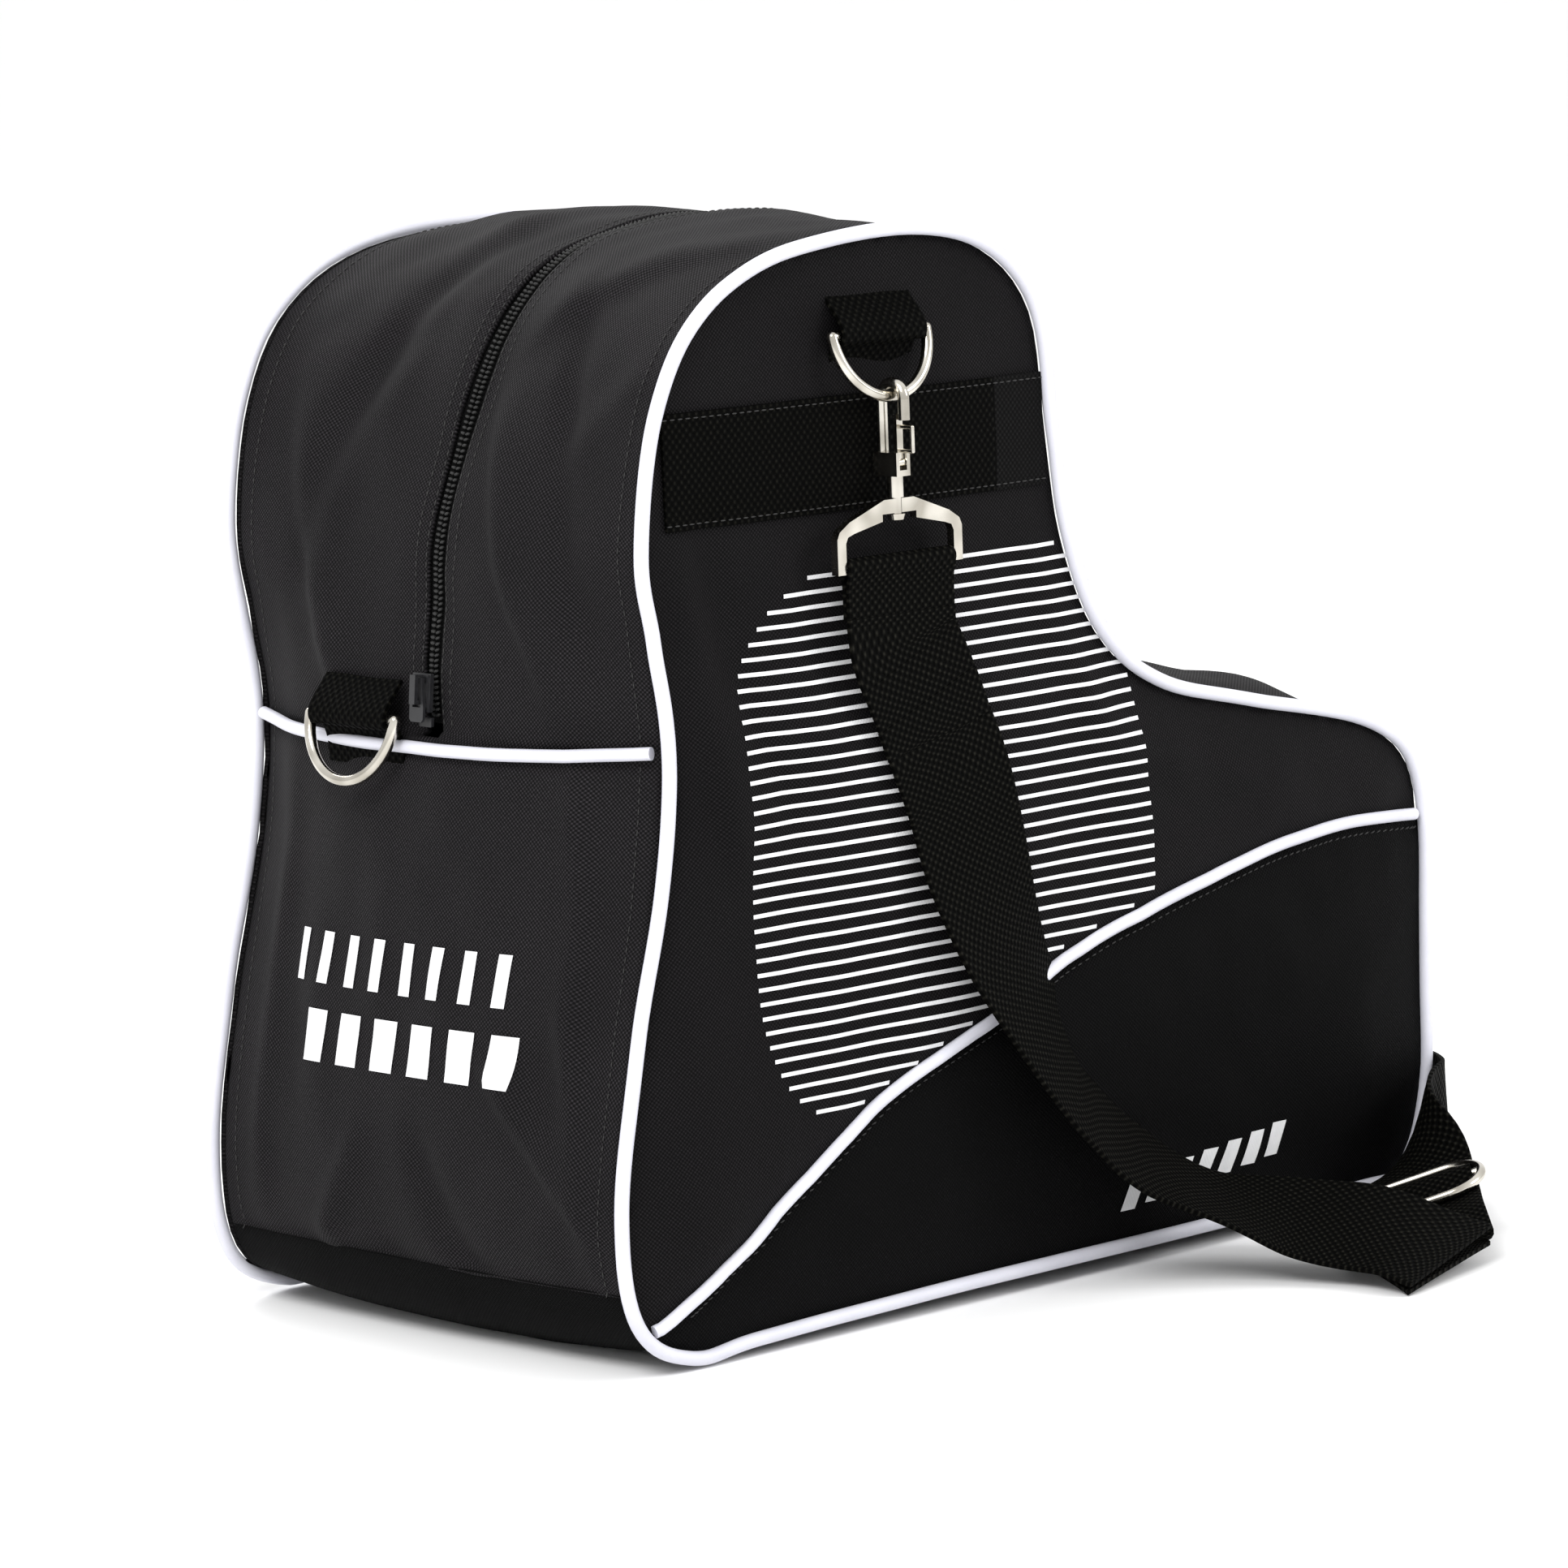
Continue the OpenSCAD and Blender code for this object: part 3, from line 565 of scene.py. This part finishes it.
def lay_strap(path, across, folded, side=1, ripple=0.0, part=(0.0, 1.0)):
    """Webbing laid along a path. Where it is folded, its last edge lies along the fold."""
    line = through([(*p, *a) for p, a in zip(path, across)], 4.0)
    middle = [Vector(q[:3]) for q in line]
    count = len(middle)
    ahead = [(middle[min(i + 1, count - 1)] - middle[max(i - 1, 0)]).normalized() for i in range(count)]
    run = [0.0]
    for a, b in zip(middle, middle[1:]):
        run.append(run[-1] + (b - a).length)
    widths = []
    for i, q in enumerate(line):
        w = Vector(q[3:])
        width_way = (w - ahead[i] * w.dot(ahead[i])).normalized()
        if i == 0 or (i == count - 1 and not folded):
            width_way = w.normalized()
        if folded:
            last = Vector(across[-1]).normalized() * (fold_half / strap_half)
            width_way = width_way.lerp(last, smooth(run[-1] - 26, run[-1], run[i]))
        widths.append(width_way * strap_half)

    def place(a, b):
        b = part[0] + (part[1] - part[0]) * b
        f = b * (count - 1)
        i = min(int(f), count - 2)
        t = f - i
        p, w = middle[i].lerp(middle[i + 1], t), widths[i].lerp(widths[i + 1], t)
        c = 2 * a - 1
        up_way = ahead[i].cross(w.normalized())
        lift = ripple * math.sin(run[i] / 31.0 + 1.3 * c) * math.sin(math.pi * b)
        q = (p + w * c + up_way * (lift - 0.25 * c ** 4)) / 1000
        return Vector((q.x, q.y * side, max(q.z, 0.0011)))

    def cut(a, b):
        return ((2 * a - 1) * strap_half / 1000, (part[0] + (part[1] - part[0]) * b) * run[-1] / 1000)

    piece = cut_cloth(18, count, place, cut, strap_thick / 1000, 0.0)
    finish_with(piece, "BEVEL", width=0.0004, segments=2, limit_method="ANGLE", angle_limit=1.0)
    return piece, [p / 1000 for p in middle], run[-1] / 1000


near_strap, near_line, near_length = lay_strap(near_path, near_across, True, ripple=0.5)
settle(near_strap, "shoulder_strap_near", strap_webbing, "bag", ["strap_near"], 40)
far_strap, far_line, far_length = lay_strap(far_path, far_across, True, ripple=0.5)
settle(far_strap, "shoulder_strap_far", strap_webbing, "bag", ["strap_far"], 40)
tuple(near_line[0])
[tuple(p) for p in near_line]
tuple(far_line[0])
[tuple(p) for p in far_line]

across_bar = Vector((0.6505, -0.694, 0.3086)).normalized()
along_strap = Vector((0.6892, 0.7101, 0.1441)).normalized()
off_strap = across_bar.cross(along_strap)
triglide_middle = Vector(far_path[-4]) + off_strap * 3.3


bridge_wide, bridge_long = 48, 22


def over_bar(a, b):
    """Webbing that comes up between the triglide's outer bars and passes over its middle bar."""
    y = (b - 0.5) * bridge_long
    rise = -1.75 + 4.35 * math.cos(math.pi * y / bridge_long) ** 1.3
    return (triglide_middle + across_bar * (a - 0.5) * bridge_wide + along_strap * y + off_strap * rise) / 1000


bar_webbing = cut_cloth(14, 22, over_bar, lambda a, b: ((a - 0.5) * 0.048, b * 0.026), 0.0014, 0.0)
settle(bar_webbing, "triglide_webbing", strap_webbing, "triglide_body", (), 50)

# ---- Fabric shell ----


def gusset_cloth(s0, s1, v0, v1, columns, rows, thick=0.0018):
    reach = 0.0
    steps = [0.0]
    for k in range(rows):
        a = on_outline(mid_outline, s0 + (s1 - s0) * k / rows)
        b = on_outline(mid_outline, s0 + (s1 - s0) * (k + 1) / rows)
        reach += math.dist(a, b) / 1000
        steps.append(reach)

    def cut(a, b):
        f = b * rows
        i = min(int(f), rows - 1)
        return ((v0 + (v1 - v0) * a) * inner_half / 1000, steps[i] + (steps[i + 1] - steps[i]) * (f - i))

    piece = cut_cloth(columns, rows, lambda a, b: skin(s0 + (s1 - s0) * b, v0 + (v1 - v0) * a), cut)
    turn_out(piece)
    finish_with(piece, "SOLIDIFY", thickness=thick, offset=-1.0)
    return piece


tape_half = 7.0 / inner_half
flap_edge = 0.6 * tape_half
settle(gusset_cloth(base_heel - 0.02, heel_piping, -1, 1, 70, 60), "heel_panel_cloth", body_cloth, "bag",
    ["heel_panel"])
settle(gusset_cloth(heel_piping, zip_end, -1, zip_line - flap_edge, 34, 150), "upper_cloth_near", body_cloth,
    "bag",
    ["upper_gusset_near"])
settle(gusset_cloth(heel_piping, zip_end, zip_line + flap_edge, 1, 40, 150), "upper_cloth_far", body_cloth,
    "bag",
    ["upper_gusset_far"])
settle(gusset_cloth(zip_end, base_toe, -1, 1, 70, 100), "toe_top_cloth", body_cloth, "bag",
    ["toe_gusset"])
settle(gusset_cloth(base_toe, around + base_heel, -1, 1, 50, 70), "base_cloth_panel", base_cloth, "bag",
    ["base_panel"])


def side_cloth(region, near, out=0.0, spacing=4.0, thick=0.0018):
    """Cloth inside a closed outline, laid over the bulge of a side panel."""
    border = [Vector(p) for p in region]
    n = len(border)
    xs, zs = [p.x for p in border], [p.y for p in border]
    points = list(border)
    row = 0
    z = min(zs) + spacing / 2
    while z < max(zs):
        x = min(xs) + (spacing / 2 if row % 2 else 0)
        while x < max(xs):
            inside = False
            closest = 1e9
            for k in range(n):
                a, b = border[k], border[(k + 1) % n]
                if (a.y > z) != (b.y > z) and x < (b.x - a.x) * (z - a.y) / (b.y - a.y) + a.x:
                    inside = not inside
                closest = min(closest, (a.x - x) ** 2 + (a.y - z) ** 2)
            if inside and closest > (spacing * 0.55) ** 2:
                points.append(Vector((x, z)))
            x += spacing
        z += spacing * 0.866
        row += 1
    made = delaunay_2d_cdt(points, [(k, (k + 1) % n) for k in range(n)], [list(range(n))], 1, 1e-5)
    mesh = bpy.data.meshes.new("cloth")
    mesh.from_pydata([on_side(p.x, p.y, out, near) for p in made[0]], [], made[2])
    flat = mesh.uv_layers.new(name="cut").data
    for loop in mesh.loops:
        p = made[0][loop.vertex_index]
        flat[loop.index].uv = (p.x / 1000, p.y / 1000)
    mesh.update()
    if (mesh.polygons[0].normal.y > 0) == near:
        mesh.flip_normals()
    piece = bpy.data.objects.new("cloth", mesh)
    scene.collection.objects.link(piece)
    if thick:
        finish_with(piece, "SOLIDIFY", thickness=thick, offset=-1.0)
    return piece


whole_side = [on_outline(side_outline, k / 5) for k in range(around * 5)]
toe_region = through([(x, z - 1.0) for x, z in overlay_edge], 5.0) + [
    on_outline(side_outline, 21.2 + k / 5) for k in range(round((around + 0.5 - 21.2) * 5))]
for near, name in ((True, "near"), (False, "far")):
    settle(side_cloth(whole_side, near), f"side_cloth_{name}", painted_shade_side_cloth, "bag",
        [f"side_panel_{name}"])
    settle(side_cloth(toe_region, near, 0.9, 5.0, 0.0008), f"toe_cloth_{name}", toe_cloth, "bag",
        [f"toe_overlay_{name}"])

# ---- Piping ----

piping_out = 1.85


def outline_cord(near):
    line = []
    for k in range(around * 10):
        s = k / 10
        p, o = on_outline(side_outline, s), outward(s)
        wander = 0.35 * noise.noise(Vector((s * 1.7, 4.0 if near else 9.0, 0)))
        x, z = p[0] + o[0] * (piping_out + wander), p[1] + o[1] * (piping_out + wander)
        line.append(Vector((x, (-1 if near else 1) * (half_width + piping_out), max(z, 2.6))) / 1000)
    return make_tube(line, 0.0025, True, 12)


for near, name in ((True, "near"), (False, "far")):
    settle(outline_cord(near), f"piping_cord_{name}", white_piping, "bag", [f"piping_outline_{name}"])
    run = through([(x * 0.985, z + 1.0) for x, z in overlay_edge], 4.0)
    cord = make_tube([on_side(x, z, 1.5, near) for x, z in run], 0.00225, False, 12)
    settle(cord, f"overlay_piping_cord_{name}", white_piping, "bag", [f"piping_overlay_{name}"])
heel_line = [skin(heel_piping - 0.07 * (1 - abs(v) ** 2.5), v * 0.985, piping_out + 1.2) for v in
    [k / 30 - 1 for k in range(61)]]
settle(make_tube(heel_line, 0.00225, False, 12), "heel_piping_cord", white_piping, "bag",
    ["piping_heel"])

# ---- Webbing band round the shaft ----


band_low, band_wide, tab_wide = 281, 39, 39


def band_cloth(x0, x1, near):
    def place(a, b):
        x, z = x0 + (x1 - x0) * b, band_low + band_wide * a
        return on_side(x, z, 1.5, near)

    piece = cut_cloth(16, 50, place, lambda a, b: (a * 0.039, (x0 + (x1 - x0) * b) / 1000))
    if (piece.data.polygons[0].normal.y > 0) == near:
        piece.data.flip_normals()
    finish_with(piece, "SOLIDIFY", thickness=0.0014, offset=-1.0)
    finish_with(piece, "BEVEL", width=0.0004, segments=2, limit_method="ANGLE", angle_limit=1.0)
    return piece


for near, name in ((True, "near"), (False, "far")):
    settle(band_cloth(-170, -16, near), f"band_{name}", band_webbing, "bag",
        [f"webbing_band_{name}"], 40)
    settle(band_cloth(-16, 9, near), f"band_end_{name}", patch_cloth, "bag",
        [f"band_end_patch_{name}"], 40)

# ---- Ring tabs ----


def folded_tab(at, side, turn):
    """Webbing that comes off the bag, turns round a ring's bar and goes back under itself."""
    profile = [(6.2, 13), (3.2, 9.5), (-0.5, 5.4), (-2.6, 2.0), (-2.95, 0), (-2.6, -1.5), (-1.5, -2.6), (0,
        -2.95),
        (1.6, -2.5), (3.0, -3.4), (4.6, -6.5), (5.6, -11), (6.0, -17)]
    run = through(profile, 0.8)

    def place(a, b):
        f = b * (len(run) - 1)
        i = min(int(f), len(run) - 2)
        t = f - i
        y, z = (run[i][k] * (1 - t) + run[i + 1][k] * t for k in (0, 1))
        x = (a - 0.5) * tab_wide
        local = Vector((x, y + 0.25 * math.sin(a * 7.0), z + 0.3 * math.sin(a * 5.0 + 1) * hump(z - 10, 8)))
        local = Matrix.Rotation(turn, 3, "Z") @ local
        return Vector((at[0] + local.x, side * (at[1] + local.y), at[2] + local.z)) / 1000

    return cut_cloth(16, len(run), place, lambda a, b: ((a - 0.5) * 0.039, b * 0.034), 0.0013, 0.0)


for name, at, side, turn in (("near", (ring_x, -111, 340), 1, 0), ("far", (ring_x, -111, 340), -1, 0),
        ("heel", (-198.5, 24, 214.5), 1, math.radians(-90))):
    tab = face_outwards(folded_tab(at, side, turn))
    settle(tab, f"tab_webbing_{name}", band_webbing, "bag", [f"ring_tab_{name}"], 50)

# ---- Zip ----


def zip_strip(v0, v1, out, columns):
    s0, s1 = heel_piping + 0.12, zip_end - 0.03
    piece = cut_cloth(columns, 150, lambda a, b: skin(s0 + (s1 - s0) * b, v0 + (v1 - v0) * a, out),
        lambda a, b: ((v0 + (v1 - v0) * a) * 0.102, b * 0.56))
    turn_out(piece)
    finish_with(piece, "SOLIDIFY", thickness=0.0008, offset=-1.0)
    return piece


settle(zip_strip(zip_line - tape_half, zip_line, -2.2, 6), "zip_tape_cloth_near", zip_tape_cloth, "bag",
    ["zip_tape_near"])
settle(zip_strip(zip_line, zip_line + tape_half, -2.2, 6), "zip_tape_cloth_far", zip_tape_cloth, "bag",
    ["zip_tape_far"])


def even_places(s0, s1, v, gap, out=0.0):
    """Points an even gap apart along the gusset, each with the direction along it and outwards."""
    found, last = [], None
    steps = int((s1 - s0) * 160)
    for k in range(steps + 1):
        s = s0 + (s1 - s0) * k / steps
        p = skin(s, v, out)
        if last is None or (p - last).length >= gap:
            q, o = skin(s + 0.02, v, out), outward(s)
            found.append((p, (q - p).normalized(), Vector((o[0], 0, o[1]))))
            last = p
    return found


def row_of_beads(places, long, wide, high, lean=0.0):
    """One small rounded bead, copied to every place in one mesh."""
    bpy.ops.mesh.primitive_ico_sphere_add(subdivisions=1, radius=1)
    bead = bpy.context.object
    ball = [v.co.copy() for v in bead.data.vertices]
    faces = [tuple(p.vertices) for p in bead.data.polygons]
    bpy.data.objects.remove(bead)
    points, sides = [], []
    for p, along, out in places:
        across = out.cross(along).normalized()
        along = (along + across * lean).normalized()
        across = out.cross(along).normalized()
        start = len(points)
        points += [p + along * b.x * long + across * b.y * wide + out * b.z * high for b in ball]
        sides += [tuple(start + i for i in f) for f in faces]
    mesh = bpy.data.meshes.new("beads")
    mesh.from_pydata(points, [], sides)
    mesh.update()
    piece = bpy.data.objects.new("beads", mesh)
    scene.collection.objects.link(piece)
    return piece


for name, v, lean in (("near", zip_line - 1.15 / inner_half, 0.25), ("far", zip_line + 1.15 / inner_half,
        -0.25)):
    teeth = row_of_beads(even_places(heel_piping + 0.2, zip_end - 0.1, v, 0.0018, -0.6), 0.00062, 0.0012,
        0.0009, lean)
    settle(teeth, f"zip_teeth_{name}", coil_nylon, "bag", [f"zip_coil_{name}"])


def stitches(name, places, long=0.0013, body="bag", wide=0.0003, high=0.00025):
    return settle(row_of_beads(places, long, wide, high), name, black_thread, body)


for name, off in (("near", -1.0), ("far", 1.0)):
    for k, gap in enumerate((5.0, 9.5)):
        v = zip_line + off * gap / inner_half
        stitches(f"zip_stitches_{name}_{k}", even_places(heel_piping + 0.15, zip_end, v, 0.0034, 0.1))


def level_places(z, x0, x1, gap, out, near=True):
    count = int(abs(x1 - x0) / gap)
    away = Vector((0, -1 if near else 1, 0))
    return [(on_side(x0 + (x1 - x0) * k / count, z, out, near), Vector((1, 0, 0)),
        away) for k in range(count + 1)]


for near, name in ((True, "near"), (False, "far")):
    rows = level_places(band_low + 2, -169, 8, 3.3, 1.7, near) + level_places(band_low + 37, -169, 8, 3.3,
        1.7, near)
    stitches(f"band_stitches_{name}", rows)
    seam = []
    for (x, z) in through([(x * 0.985, z - 4.0) for x, z in overlay_edge[1:]], 3.4):
        seam.append((on_side(x, z, 1.15, near), Vector((1, 0, 0.3)).normalized(), Vector((0,
            -1 if near else 1, 0))))
    stitches(f"overlay_stitches_{name}", seam)


for name, v in (("near", -0.93), ("far", 0.93)):
    stitches(f"outline_stitches_{name}", even_places(base_heel, base_toe, v, 0.0034, 0.15))

# ---- Prints: plain bars, with no letters ----


def bar_on_side(x0, x1, z, thick, rise, near=True, out=0.35):
    parts = max(2, round(abs(x1 - x0) / 5))

    def place(a, b):
        x = x0 + (x1 - x0) * b
        return on_side(x, z + rise * (x - x0) + (a - 0.5) * thick, out, near)

    piece = cut_cloth(2, parts, place, lambda a, b: ((x0 + (x1 - x0) * b) / 1000, (z + a * thick) / 1000))
    if (piece.data.polygons[0].normal.y > 0) == near:
        piece.data.flip_normals()
    finish_with(piece, "SOLIDIFY", thickness=0.00012, offset=-1.0)
    return piece


def striped_patch(near):
    """A soft-cornered square of even bars, cut off where the toe overlay covers it."""
    bars = []
    middle_x, middle_z, half = -47.0, 168.0, 96.0
    for k in range(39):
        z = middle_z - half + 3 + k * 5.0
        share = abs((z - middle_z) / half)
        if share >= 1:
            continue
        reach = half * (1 - share ** 4) ** 0.25
        x0, x1 = middle_x - reach, middle_x + reach
        while x1 > x0 and z < seam_height(x1) + 5:
            x1 -= 2
        if x1 - x0 > 12:
            bars.append(bar_on_side(x0, x1, z, 1.4, 0.0, near))
    return joined(bars)


for near, name in ((True, "near"), (False, "far")):
    settle(striped_patch(near), f"striped_print_{name}", white_ink, "bag", (), 40)


def slanted_marks_on_toe():
    marks = []
    for k in range(7):
        x = 33 + k * 12

        def place(a, b, x=x):
            z = 20.5 + 12 * b
            return on_side(x + 7 * a + 4 * b, z + 0.12 * (x - 33), 1.25, True)

        piece = cut_cloth(3, 4, place, lambda a, b, x=x: ((x + 7 * a) / 1000, b * 0.011))
        if piece.data.polygons[0].normal.y > 0:
            piece.data.flip_normals()
        finish_with(piece, "SOLIDIFY", thickness=0.00012, offset=-1.0)
        marks.append(piece)
    return joined(marks)


settle(slanted_marks_on_toe(), "toe_print", white_ink, "bag", (), 40)


def place_on_heel(y, z):
    low, high = base_heel, heel_piping
    for _ in range(24):
        s = (low + high) / 2
        if on_outline(mid_outline, s)[1] < z:
            low = s
        else:
            high = s
    return skin(s, y / inner_half, 0.45)


def marks_on_heel():
    marks = []
    for z0, tall, wide, gap, first, count in ((121, 18, 5.5, 15.0, 60, 8), (94, 18, 11.0, 19.0, 52, 6)):
        for k in range(count):
            y = first - k * gap

            def place(a, b, y=y, z0=z0, tall=tall, wide=wide):
                return place_on_heel(y - wide * a - 3.0 * b, z0 + tall * b)

            piece = cut_cloth(4, 7, place, lambda a, b, y=y: ((y + a * 9) / 1000, b * 0.017))
            if piece.data.polygons[0].normal.x > 0:
                piece.data.flip_normals()
            finish_with(piece, "SOLIDIFY", thickness=0.00012, offset=-1.0)
            marks.append(piece)
    return joined(marks)


settle(marks_on_heel(), "heel_print", white_ink, "bag", (), 40)

# ---- Strap ends at the hooks ----

bar_y, bar_z, loop_wide = -116.32, 262.65, 49.8


def stitched_loop(side):
    """Strap end turned round the frame's bar and sewn to itself."""
    turn = [(2.55 * math.cos(k * math.pi / 8), 2.55 * math.sin(k * math.pi / 8)) for k in range(9)]
    profile = [(0.86, -17.9), (0.86, -12), (0.9, -7), (1.9, -2.6)] + turn + [(-1.9, -2.6), (-0.9, -7),
        (-0.86, -12),
        (-0.86, -17.9)]
    run = through(profile, 0.8)

    def place(a, b):
        f = b * (len(run) - 1)
        i = min(int(f), len(run) - 2)
        t = f - i
        y, z = (run[i][k] * (1 - t) + run[i + 1][k] * t for k in (0, 1))
        return Vector((ring_x + (a - 0.5) * loop_wide, side * (bar_y + y), bar_z + z)) / 1000

    piece = cut_cloth(16, len(run), place, lambda a, b: ((a - 0.5) * 0.05, b * 0.042), 0.0014, 0.0)
    return face_outwards(piece)


for side, name in ((1, "near"), (-1, "far")):
    settle(stitched_loop(side), f"loop_webbing_{name}", strap_webbing, f"{name}_strap_frame",
        [f"strap_loop_{name}"], 50)


for side, name in ((1, "near"), (-1, "far")):
    links = ((f"{name}_strap_frame", f"{name}_hook"), (f"{name}_hook", f"{name}_ring"), (f"{name}_ring", "bag"))
    for k, (start, stop) in enumerate(links):
        top, line, _ = lay_strap(top_path, top_across, False, side, 0.0, (k / 3, (k + 1) / 3))
        if side < 0:
            turn_out(top)
        settle(top, f"strap_top_webbing_{name}_{k}", strap_webbing, None,
            [f"strap_top_{name}"] if k == 0 else (), 40)
        first, last = [line[round((len(line) - 1) * j / 3)] for j in (k, k + 1)]
        marks = [first.lerp(last, share) for share in (0.22, 0.78)]
        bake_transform(top)

# ---- Finishes of the metal and the other carried-over parts ----

for node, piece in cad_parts.items():
    finish = None
    if node.startswith(("d_ring", "hook", "gate", "swivel", "strap_frame", "triglide")):
        finish = nickel
    elif node.startswith(("zip_stop", "zip_slider", "zip_pull")):
        finish = zip_lacquer
    if finish:
        piece.data.materials.clear()
        piece.data.materials.append(finish)

# ---- Floor and light ----

bpy.ops.mesh.primitive_plane_add(size=40, location=(0, 0, 0))
floor = bpy.context.object
floor.name = "floor"
floor.data.materials.append(floor_paint)

world = bpy.data.worlds.new("studio")
scene.world = world
world.use_nodes = True
world.node_tree.nodes["Background"].inputs[0].default_value = (1, 1, 1, 1)
world.node_tree.nodes["Background"].inputs[1].default_value = 1.06
scene.view_settings.view_transform = "Standard"


def soft_light(name, at, size, power):
    bpy.ops.object.light_add(type="AREA", location=at)
    light = bpy.context.object
    light.name = name
    light.data.size = size
    light.data.energy = power
    light.rotation_euler = (Vector((0, 0, 0.18)) - Vector(at)).to_track_quat("-Z", "Y").to_euler()
    return light


soft_light("key_light", (-2.2, -1.0, 2.4), 1.4, 70)
soft_light("side_light", (1.6, -2.4, 1.6), 1.2, 30)
soft_light("back_light", (0.4, 2.4, 2.2), 1.4, 30)
